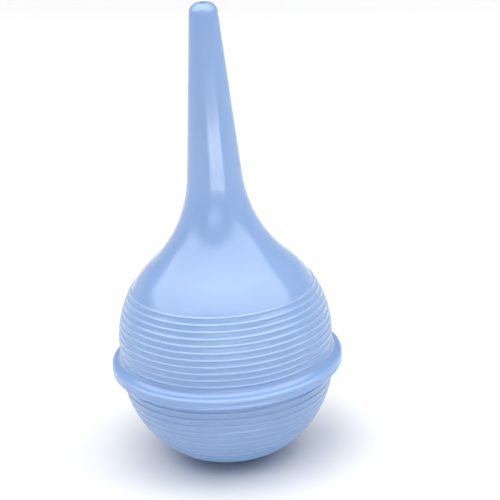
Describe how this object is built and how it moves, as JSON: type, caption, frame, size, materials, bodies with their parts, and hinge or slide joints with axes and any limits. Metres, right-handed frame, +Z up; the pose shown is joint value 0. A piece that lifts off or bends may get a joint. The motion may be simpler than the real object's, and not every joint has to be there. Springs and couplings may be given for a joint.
{
  "type": "nasal aspirator",
  "caption": "Soft squeeze-bulb nasal aspirator: long tapered nozzle on a ribbed round bulb with a raised collar, in blue vinyl.",
  "frame": {"origin": "centre of the flat foot under the bulb, on the surface the bulb stands on", "axes": "+Z up along the nozzle; -Y is the front, where the thumb presses, and +Y the back, where the fingers hold; +X is to the right seen from the front"},
  "size_m": [0.0734, 0.0734, 0.146],
  "materials": {
    "blue_vinyl_upper": "satin",
    "blue_vinyl_lower": "satin"
  },
  "bodies": {
    "bulb": {"upper_shell": "blue_vinyl_upper", "lower_cup": "blue_vinyl_lower"},
    "thumb_wall": {"upper_thumb_wall": "blue_vinyl_upper", "lower_thumb_wall": "blue_vinyl_lower"},
    "finger_wall": {"upper_finger_wall": "blue_vinyl_upper", "lower_finger_wall": "blue_vinyl_lower"}
  },
  "joints": [
    {"name": "thumb_press", "type": "slide", "parent": "bulb", "child": "thumb_wall", "axis": [0, 1, 0], "range_m": [0, 0.02], "stiffness_N_per_m": 600},
    {"name": "finger_press", "type": "slide", "parent": "bulb", "child": "finger_wall", "axis": [0, -1, 0], "range_m": [0, 0.008]}
  ],
  "couplings": [
    {"joint": "finger_press", "follows": "thumb_press", "ratio": 0.4}
  ]
}
